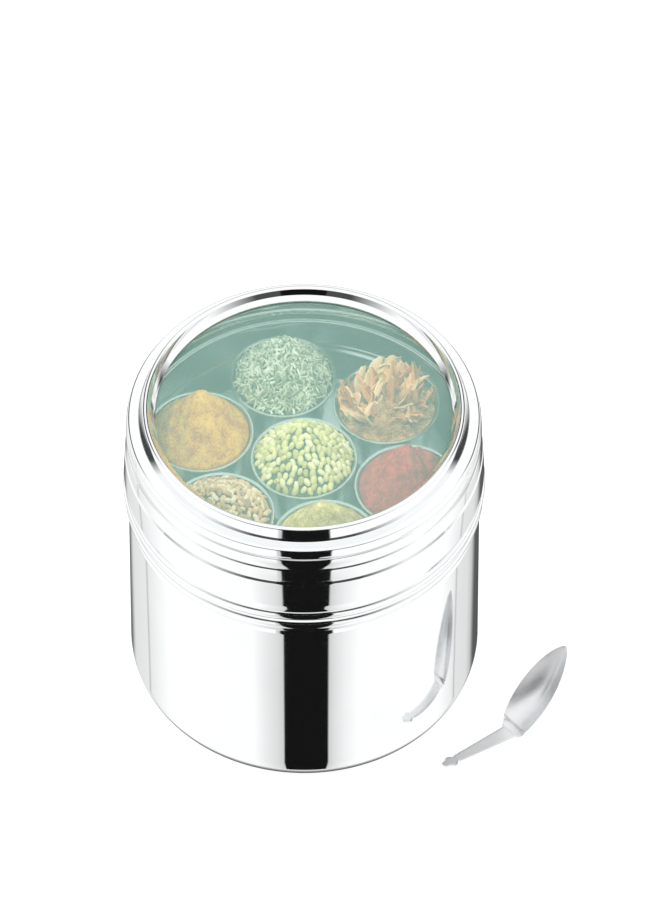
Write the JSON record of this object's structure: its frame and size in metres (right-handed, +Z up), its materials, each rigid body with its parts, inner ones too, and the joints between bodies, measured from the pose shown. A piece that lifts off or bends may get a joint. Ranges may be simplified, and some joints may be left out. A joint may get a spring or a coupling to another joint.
{
  "type": "masala dabba spice box",
  "caption": "Tall round steel spice canister with a lift-off windowed lid, an inner pan of spice cups and a small bent spoon.",
  "frame": {"origin": "centre of the canister's flat base, on the surface it stands on", "axes": "+Z up along the canister's axis, +X towards the side where the spoon lies, -Y towards the front"},
  "size_m": [0.2149, 0.1742, 0.1881],
  "materials": {
    "polished_steel": "mirror polished",
    "satin_steel": "bright satin",
    "clear_pane": "clear, pale mint tint, hazy",
    "seal": "matte",
    "green_pods": "loose dry spice",
    "turmeric_powder": "loose dry spice",
    "cumin_seeds": "loose dry spice",
    "mace_blades": "loose dry spice",
    "chilli_powder": "loose dry spice",
    "coriander_powder": "loose dry spice",
    "fenugreek_seeds": "loose dry spice"
  },
  "bodies": {
    "canister": {"canister_body": "polished_steel"},
    "lid": {"lid_shell": "polished_steel", "window_pane": "clear_pane", "window_seal": "seal", "retaining_ring": "satin_steel"},
    "pan": {"inner_pan": "satin_steel"},
    "green_pods_in_cup": {"green_pods_cup": "satin_steel", "green_pods": "green_pods"},
    "turmeric_powder_in_cup": {"turmeric_powder_cup": "satin_steel", "turmeric_powder": "turmeric_powder"},
    "cumin_seeds_in_cup": {"cumin_seeds_cup": "satin_steel", "cumin_seeds": "cumin_seeds"},
    "mace_blades_in_cup": {"mace_blades_cup": "satin_steel", "mace_blades": "mace_blades"},
    "chilli_powder_in_cup": {"chilli_powder_cup": "satin_steel", "chilli_powder": "chilli_powder"},
    "coriander_powder_in_cup": {"coriander_powder_cup": "satin_steel", "coriander_powder": "coriander_powder"},
    "fenugreek_seeds_in_cup": {"fenugreek_seeds_cup": "satin_steel", "fenugreek_seeds": "fenugreek_seeds"},
    "spoon": {"spoon": "polished_steel"}
  },
  "joints": [
    {"name": "lid_lift", "type": "slide", "parent": "canister", "child": "lid", "axis": [0, 0, 1], "range_m": [0, 0.2]},
    {"name": "pan_lift", "type": "slide", "parent": "canister", "child": "pan", "axis": [0, 0, 1], "range_m": [0, 0.09]},
    {"name": "green_pods_cup_lift", "type": "slide", "parent": "pan", "child": "green_pods_in_cup", "axis": [0, 0, 1], "range_m": [0, 0.04]},
    {"name": "turmeric_powder_cup_lift", "type": "slide", "parent": "pan", "child": "turmeric_powder_in_cup", "axis": [0, 0, 1], "range_m": [0, 0.04]},
    {"name": "cumin_seeds_cup_lift", "type": "slide", "parent": "pan", "child": "cumin_seeds_in_cup", "axis": [0, 0, 1], "range_m": [0, 0.04]},
    {"name": "mace_blades_cup_lift", "type": "slide", "parent": "pan", "child": "mace_blades_in_cup", "axis": [0, 0, 1], "range_m": [0, 0.04]},
    {"name": "chilli_powder_cup_lift", "type": "slide", "parent": "pan", "child": "chilli_powder_in_cup", "axis": [0, 0, 1], "range_m": [0, 0.04]},
    {"name": "coriander_powder_cup_lift", "type": "slide", "parent": "pan", "child": "coriander_powder_in_cup", "axis": [0, 0, 1], "range_m": [0, 0.04]},
    {"name": "fenugreek_seeds_cup_lift", "type": "slide", "parent": "pan", "child": "fenugreek_seeds_in_cup", "axis": [0, 0, 1], "range_m": [0, 0.04]},
    {"name": "spoon_lift", "type": "slide", "parent": "canister", "child": "spoon", "axis": [0, 0, 1], "range_m": [0, 0.1]}
  ],
  "couplings": [
    {"joint": "pan_lift", "follows": "lid_lift", "ratio": 0.45},
    {"joint": "green_pods_cup_lift", "follows": "lid_lift", "ratio": 0.2},
    {"joint": "turmeric_powder_cup_lift", "follows": "lid_lift", "ratio": 0.2},
    {"joint": "cumin_seeds_cup_lift", "follows": "lid_lift", "ratio": 0.2},
    {"joint": "mace_blades_cup_lift", "follows": "lid_lift", "ratio": 0.2},
    {"joint": "chilli_powder_cup_lift", "follows": "lid_lift", "ratio": 0.2},
    {"joint": "coriander_powder_cup_lift", "follows": "lid_lift", "ratio": 0.2},
    {"joint": "fenugreek_seeds_cup_lift", "follows": "lid_lift", "ratio": 0.2}
  ]
}
